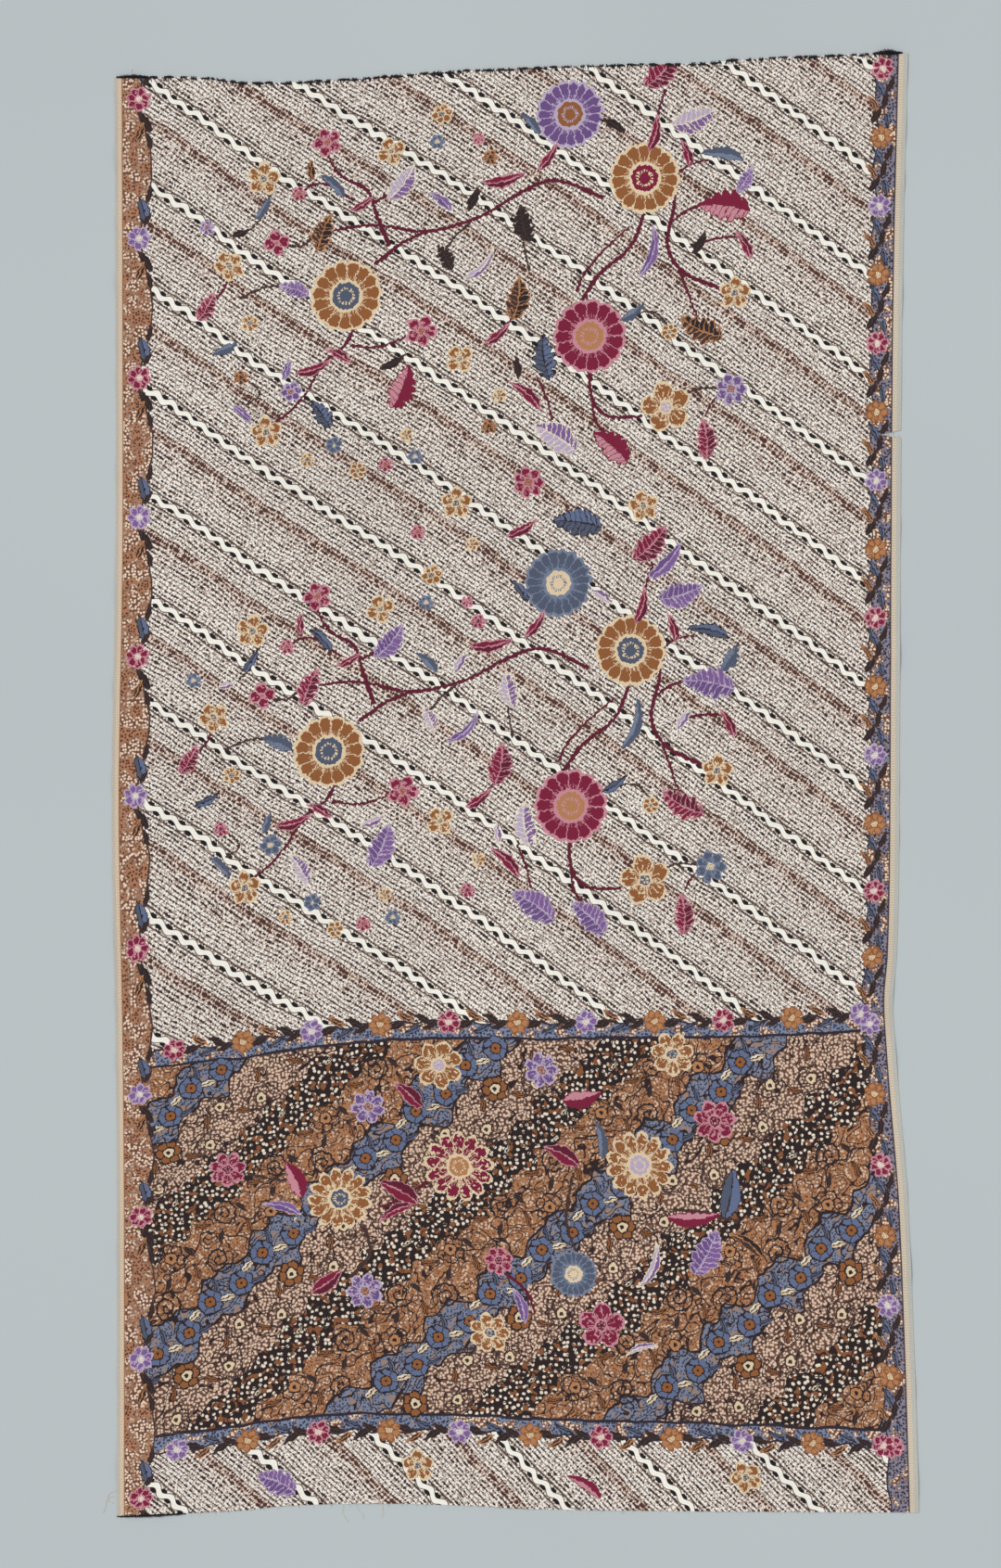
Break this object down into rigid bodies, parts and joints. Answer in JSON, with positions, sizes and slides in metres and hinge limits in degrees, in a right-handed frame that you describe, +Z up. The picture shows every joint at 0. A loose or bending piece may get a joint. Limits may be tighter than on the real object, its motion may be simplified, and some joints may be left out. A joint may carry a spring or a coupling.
{
  "type": "batik sarong",
  "caption": "Rectangular length of cotton batik opened out flat, with a head panel across one end, flowered borders and leftover seam thread.",
  "frame": {"origin": "middle of the underside, on the surface that the cloth lies on", "axes": "+Z up from the surface, +Y along the cloth away from the head panel, +X across it from the left selvedge to the right one"},
  "size_m": [1.086, 1.9738, 0.0047],
  "materials": {
    "batik_cotton": "matt fine plain-weave cotton, wax-resist dyed in cream, brown, near-black, indigo, maroon, purple and ochre",
    "black_thread": "matt black sewing cotton"
  },
  "bodies": {
    "root": {"cloth": "batik_cotton", "corner_thread_upper_left": "black_thread", "corner_thread_upper_right": "black_thread", "corner_thread_lower_left": "black_thread", "edge_thread_upper": "black_thread"}
  },
  "joints": []
}
